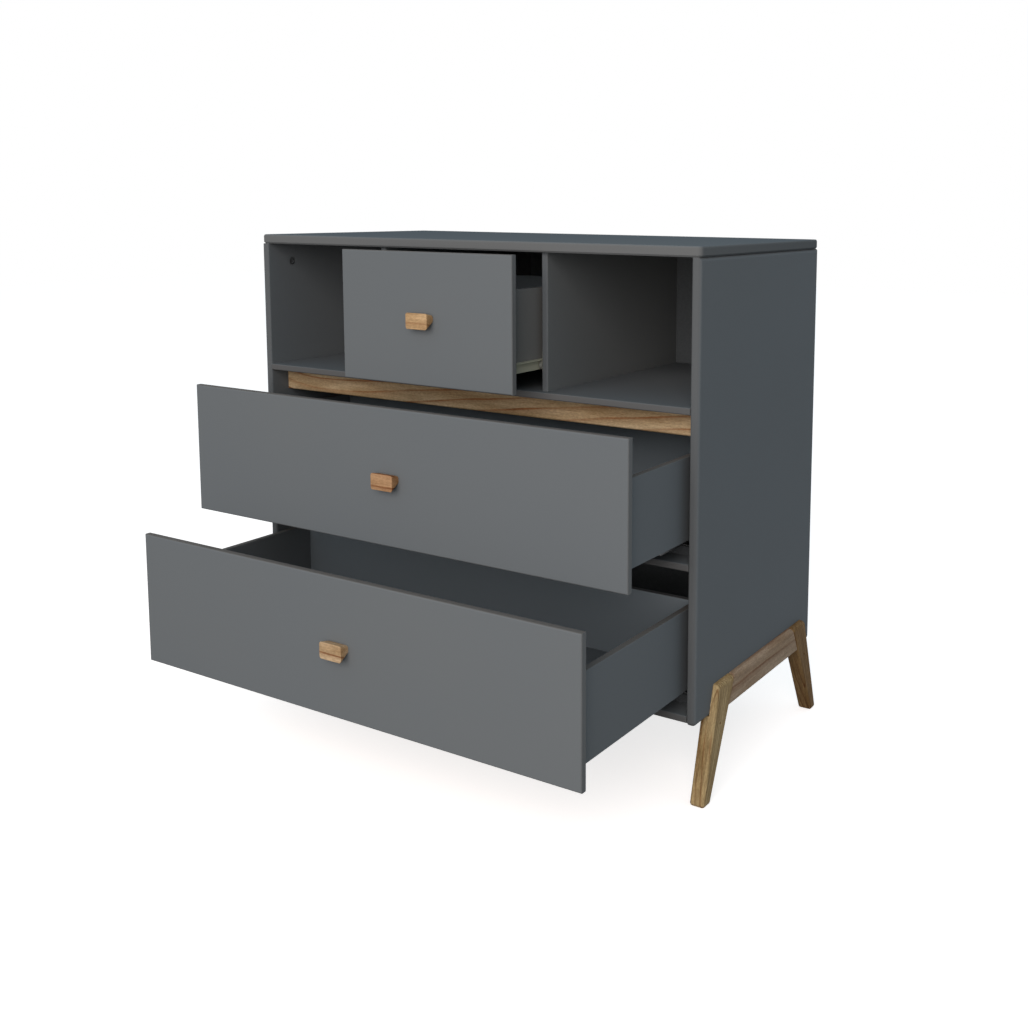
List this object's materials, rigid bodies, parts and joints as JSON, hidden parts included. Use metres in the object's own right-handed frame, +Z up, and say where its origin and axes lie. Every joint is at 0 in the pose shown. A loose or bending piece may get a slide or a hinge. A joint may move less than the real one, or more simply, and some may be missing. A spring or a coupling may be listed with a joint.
{
  "type": "chest of drawers",
  "caption": "Wide chest of drawers on splayed wooden leg frames, with a small drawer between open compartments above full-width drawers.",
  "frame": {"origin": "on the floor, below the middle of the whole object as it stands with its drawers pulled out", "axes": "+X to the right seen from the front, +Y from the fronts to the back, +Z up"},
  "size_m": [1.024, 0.8394, 0.951],
  "materials": {
    "painted_board": "satin blue-grey paint on fibreboard",
    "grey_hardboard": "matt grey paint on thin hardboard",
    "oak": "matt lacquer on streaky light wood",
    "beech": "bare turned wood",
    "dark_batten": "matt dark paint on softwood",
    "dark_metal": "dark burnished cast metal",
    "zinc_steel": "bright zinc plate",
    "cream_steel": "cream powder coat",
    "roller_plastic": "off-white moulded plastic"
  },
  "bodies": {
    "cabinet": {"top_panel": "painted_board", "side_panel_left": "painted_board", "side_panel_right": "painted_board", "shelf": "painted_board", "divider_left": "painted_board", "divider_right": "painted_board", "wood_rail": "oak", "cross_rail": "painted_board", "bottom_board": "painted_board", "rear_rail": "dark_batten", "back_panel": "grey_hardboard", "runner_battens_left": "dark_batten", "runner_battens_right": "dark_batten", "front_leg_left": "oak", "front_leg_right": "oak", "rear_leg_left": "oak", "rear_leg_right": "oak", "leg_rail_left": "oak", "leg_rail_right": "oak", "leg_tenons": "beech", "leg_pins": "dark_metal", "frame_screws": "zinc_steel", "cam_fittings": "dark_metal", "cam_bolts": "zinc_steel", "runner_tracks_left": "zinc_steel", "runner_tracks_right": "zinc_steel", "cabinet_runner_left": "cream_steel", "cabinet_runner_right": "cream_steel"},
    "small_drawer": {"small_drawer_front": "painted_board", "small_drawer_side_left": "painted_board", "small_drawer_side_right": "painted_board", "small_drawer_back": "painted_board", "small_drawer_bottom": "grey_hardboard", "small_drawer_knob": "oak", "small_drawer_knob_screw": "zinc_steel", "small_drawer_runner_left": "cream_steel", "small_drawer_runner_right": "cream_steel"},
    "middle_drawer": {"middle_drawer_front": "painted_board", "middle_drawer_side_left": "painted_board", "middle_drawer_side_right": "painted_board", "middle_drawer_back": "painted_board", "middle_drawer_bottom": "grey_hardboard", "middle_drawer_knob": "oak", "middle_drawer_knob_screw": "zinc_steel", "middle_runner_slides": "zinc_steel"},
    "bottom_drawer": {"bottom_drawer_front": "painted_board", "bottom_drawer_side_left": "painted_board", "bottom_drawer_side_right": "painted_board", "bottom_drawer_back": "painted_board", "bottom_drawer_bottom": "grey_hardboard", "bottom_drawer_knob": "oak", "bottom_drawer_knob_screw": "zinc_steel", "bottom_runner_slides": "zinc_steel"},
    "middle_carriage": {"middle_runner_carriages": "zinc_steel"},
    "bottom_carriage": {"bottom_runner_carriages": "zinc_steel"},
    "front_roller_left": {"front_roller_left": "roller_plastic"},
    "front_roller_right": {"front_roller_right": "roller_plastic"},
    "rear_roller_left": {"rear_roller_left": "roller_plastic"},
    "rear_roller_right": {"rear_roller_right": "roller_plastic"}
  },
  "joints": [
    {"name": "small_drawer_slide", "type": "slide", "parent": "cabinet", "child": "small_drawer", "axis": [0, -1, 0], "range_m": [-0.089, 0.211]},
    {"name": "middle_drawer_slide", "type": "slide", "parent": "cabinet", "child": "middle_drawer", "axis": [0, -1, 0], "range_m": [-0.188, 0.142]},
    {"name": "bottom_drawer_slide", "type": "slide", "parent": "cabinet", "child": "bottom_drawer", "axis": [0, -1, 0], "range_m": [-0.314, 0.016]},
    {"name": "middle_carriage_slide", "type": "slide", "parent": "cabinet", "child": "middle_carriage", "axis": [0, -1, 0], "range_m": [-0.094, 0.071]},
    {"name": "bottom_carriage_slide", "type": "slide", "parent": "cabinet", "child": "bottom_carriage", "axis": [0, -1, 0], "range_m": [-0.157, 0.008]},
    {"name": "front_roller_spin_left", "type": "hinge", "parent": "cabinet", "child": "front_roller_left", "pos_m": [-0.17425, -0.05966, 0.7337], "axis": [1, 0, 0], "continuous": true},
    {"name": "rear_roller_spin_left", "type": "hinge", "parent": "small_drawer", "child": "rear_roller_left", "pos_m": [-0.17425, 0.18184, 0.7337], "axis": [1, 0, 0], "continuous": true},
    {"name": "front_roller_spin_right", "type": "hinge", "parent": "cabinet", "child": "front_roller_right", "pos_m": [0.17425, -0.05966, 0.7337], "axis": [1, 0, 0], "continuous": true},
    {"name": "rear_roller_spin_right", "type": "hinge", "parent": "small_drawer", "child": "rear_roller_right", "pos_m": [0.17425, 0.18184, 0.7337], "axis": [1, 0, 0], "continuous": true}
  ],
  "couplings": [
    {"joint": "middle_carriage_slide", "follows": "middle_drawer_slide", "ratio": 0.5},
    {"joint": "bottom_carriage_slide", "follows": "bottom_drawer_slide", "ratio": 0.5},
    {"joint": "front_roller_spin_left", "follows": "small_drawer_slide", "rad_per_m": 117.65},
    {"joint": "front_roller_spin_right", "follows": "small_drawer_slide", "rad_per_m": 117.65},
    {"joint": "rear_roller_spin_left", "follows": "small_drawer_slide", "rad_per_m": 117.65},
    {"joint": "rear_roller_spin_right", "follows": "small_drawer_slide", "rad_per_m": 117.65}
  ]
}
